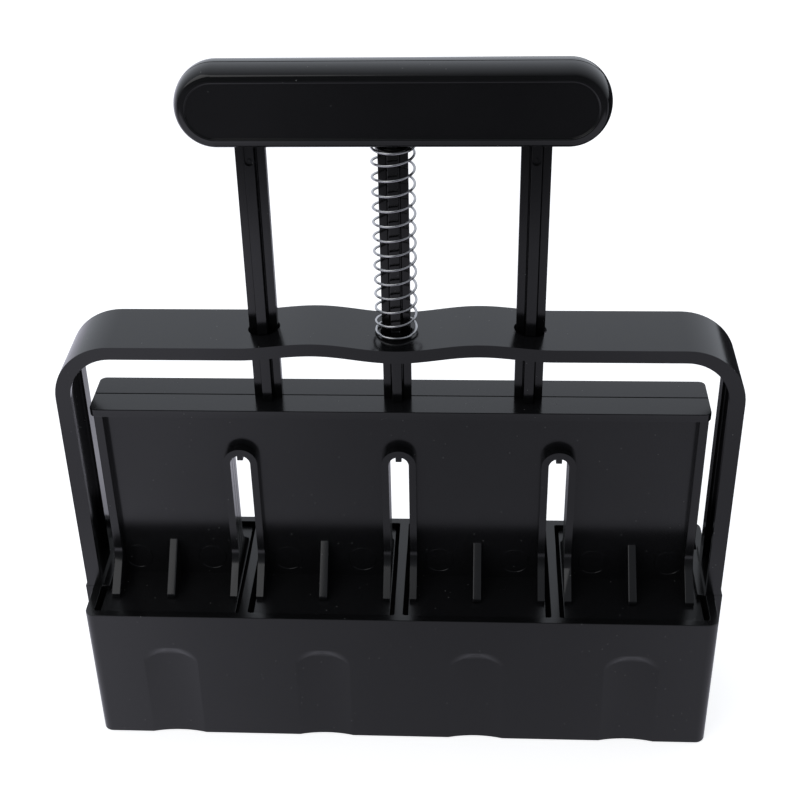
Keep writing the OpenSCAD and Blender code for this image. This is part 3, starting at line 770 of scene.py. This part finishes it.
def makePlates(s):
    low, tip, r = s["low"], s["low"] - s["pinLong"], s["tipRound"]
    turns = [math.pi / 2 * k / s["tipSteps"] for k in range(1, s["tipSteps"] + 1)]
    pin = [(s["tipRadius"] - r, tip)]
    pin += [(s["tipRadius"] - r + r * math.sin(a), tip + r - r * math.cos(a)) for a in turns]
    pin += [(s["pinRadius"], low), (s["shankRadius"], low), (s["shankRadius"], low + s["shankLong"])]
    for i, x in enumerate(cellCentres, 1):
        outline = roundedBox(s["width"], s["depth"], s["corner"], 4, (x, 0))
        Solid().prism(outline, low, s["high"], "z", s["edge"]).finish(
            "pressPlate%d" % i, "plunger", "press_plate_%d" % i)
        Solid().turned(pin, (x, 0, 0), "z", 40).finish("seedPin%d" % i, "plunger", "seed_pin_%d" % i, 40)


makePlates(plate)
print("plates and pins made")

screw = {
    "headRadius": 2.7, "headDeep": 1.2, "headEdge": (0.15, 0.12), "shankRadius": 1.4,
    "slotWide": 0.85, "slotLong": 3.4, "slotDeep": 0.8, "toolOver": 0.5,
}


def makeScrews(s, name, body, node, places, long):
    # each place is (head centre, axis, direction in which the head faces)
    inset, fall = s["headEdge"]
    profile = [(s["headRadius"] - inset, 0), (s["headRadius"], -fall),
               (s["shankRadius"], -s["headDeep"]), (s["shankRadius"], -long)]
    halfWide, halfLong = s["slotWide"] / 2, s["slotLong"] / 2
    screws = Solid()
    for centre, axis, facing in places:
        head = Solid().turned(profile, centre, axis, 36, facing)
        for u, v in ((halfLong, halfWide), (halfWide, halfLong)):
            tool = Solid().prism([(-u, -v), (u, -v), (u, v), (-u, v)],
                                 *span(facing, -s["slotDeep"], s["toolOver"]), axis)
            bmesh.ops.translate(tool.mesh, vec=centre, verts=tool.mesh.verts)
            head.cut(tool)
        screws.add(head)
    screws.finish(name, body, node)


makeScrews(screw, "handleScrews", "plunger", "handle_screws",
           [((x, handle["screwY"], handle["middle"]), "y", 1) for x in handle["screwX"]],
           handle["screwLong"])
makeScrews(screw, "yokeScrews", "mould", "yoke_screws",
           [((side * yoke["screwX"], y, yoke["screwZ"]), "x", side)
            for side in (-1, 1) for y in (-yoke["screwY"], yoke["screwY"])], yoke["screwLong"])
print("screws made")

# a white floor and sky, whose reflections are dimmer than they look; places in metres. Glossy rays see a
# painted reflection on the floor, a map of painted light and shade
studio = {
    "floorSize": 6.0, "floorColour": (0.86, 0.86, 0.86, 1), "glow": 0.72,
    "paintedReflectionColour": (0.98, 0.98, 1.12, 1), "skyColour": (0.95, 1.0, 1.09, 1),
    "paintedFadeFront": (-0.46, -0.36), "paintedFadeFar": 0.21,  # the painted reflection fades towards the viewer
    "frontMiddle": 0.46, "frontLean": -1.07, "frontBow": 18.4, "frontReach": 0.12,  # painted light across the front, brightest to the left
    "paintedShadeBand": (0.035, 0.06, 0.85), "paintedShadeBandPlace": 0.155,  # a weak painted shade in a band across the front of the painted reflection
    # painted reflection behind the object: light on the left, painted shadow on the right
    "behind": (0.0, 0.06), "backAcross": (-0.06, 0.075), "backSide": (0.85, 0.02),
    "nearShade": (0.06, 0.14, 0.3),  # painted shadow of the object on the painted reflection close behind it
    "underMargin": (0.0005, 0.0009), "underShade": 0.96,  # the floor inside the mould is in shade
    "skyLight": 0.47, "skyBack": 0.39, "skySeen": 1.08,
    "lampPlace": (-0.50, -0.38, 0.80), "lampAim": (0, 0, 0.1), "lampSize": 0.80, "lampPower": 1.9,
}


def makeFloor(s):
    data = bpy.data.meshes.new("studioFloor")
    h = s["floorSize"] / 2
    data.from_pydata([(-h, -h, 0), (h, -h, 0), (h, h, 0), (-h, h, 0)], [], [(0, 1, 2, 3)])
    floor = bpy.data.objects.new("studioFloor", data)
    scene.collection.objects.link(floor)
    material, make = newMaterial("whiteFloor")
    ray = make.node("ShaderNodeLightPath")
    seen = ray.also("Is Camera Ray") + ray.also("Is Transmission Ray")
    place = make.node("ShaderNodeSeparateXYZ", None,
                      {"Vector": make.node("ShaderNodeTexCoord", out="Object")})
    x, y = place.also("X"), place.also("Y")
    # painted reflection: its brightness is set by place on the floor, with painted light and painted shade
    across = make.fit(x, -s["frontReach"], s["frontReach"], -s["frontReach"], s["frontReach"])
    # painted light: the front of the painted reflection is brighter to the left
    front = across * s["frontLean"] + across * across * s["frontBow"] + s["frontMiddle"]
    # painted shade: a weak darker band at a given distance in front
    front = front * make.fit(abs(y + s["paintedShadeBandPlace"]), *s["paintedShadeBand"], 1.0)
    # painted shadow: the reflection behind the object darkens to the right and close behind it
    back = make.fit(x, *s["backAcross"], *s["backSide"]) * make.fit(y, *s["nearShade"], 1.0)
    behind = make.fit(y, *s["behind"])
    paintedReflection = (front * (1 - behind) + back * behind) * make.fit(y, *s["paintedFadeFront"], s["paintedFadeFar"], 1.0)
    underX, underY = (mould[k] * mm / 2 - margin
                      for k, margin in zip(("width", "depth"), s["underMargin"]))
    paintedReflection = paintedReflection * (1 - (abs(x) < underX) * (abs(y) < underY) * s["underShade"])
    matt = make.node("ShaderNodeBsdfDiffuse", None, {"Color": s["floorColour"]})
    glow = make.node("ShaderNodeEmission", None, {"Color": (1, 1, 1, 1), "Strength": seen * s["glow"]})
    lit = make.node("ShaderNodeAddShader", None, {0: matt, 1: glow})
    # glossy rays see this painted reflection instead of the lit floor
    paintedReflectionGlow = make.node("ShaderNodeEmission", None, {"Color": s["paintedReflectionColour"], "Strength": paintedReflection})
    both = make.node("ShaderNodeMixShader", None, {0: ray.also("Is Glossy Ray"), 1: lit, 2: paintedReflectionGlow})
    make.node("ShaderNodeOutputMaterial", None, {"Surface": both})
    data.materials.append(material)


def makeSky(s):
    world = bpy.data.worlds.new("studioWorld")
    world.use_nodes = True
    world.node_tree.nodes.clear()
    make = Maker(world.node_tree)
    camera = make.node("ShaderNodeLightPath").also("Is Camera Ray")
    toward = make.node("ShaderNodeSeparateXYZ", None,
                       {"Vector": make.node("ShaderNodeTexCoord", out="Generated")})
    strength = camera * s["skySeen"] + (1 - camera) * (toward.also("Y") * s["skyBack"] + s["skyLight"])
    sky = make.node("ShaderNodeBackground", None, {"Color": s["skyColour"], "Strength": strength})
    make.node("ShaderNodeOutputWorld", None, {"Surface": sky})
    scene.world = world


def makeLamp(s):
    data = bpy.data.lights.new("softLamp", "AREA")
    data.shape, data.size, data.energy = "SQUARE", s["lampSize"], s["lampPower"]
    lamp = bpy.data.objects.new("softLamp", data)
    place = Vector(s["lampPlace"])
    aim = (place - Vector(s["lampAim"])).to_track_quat("Z", "Y")
    lamp.matrix_world = Matrix.Translation(place) @ aim.to_matrix().to_4x4()
    scene.collection.objects.link(lamp)


makeFloor(studio)
makeSky(studio)
makeLamp(studio)
scene.view_settings.view_transform = "Standard"
print("studio made")
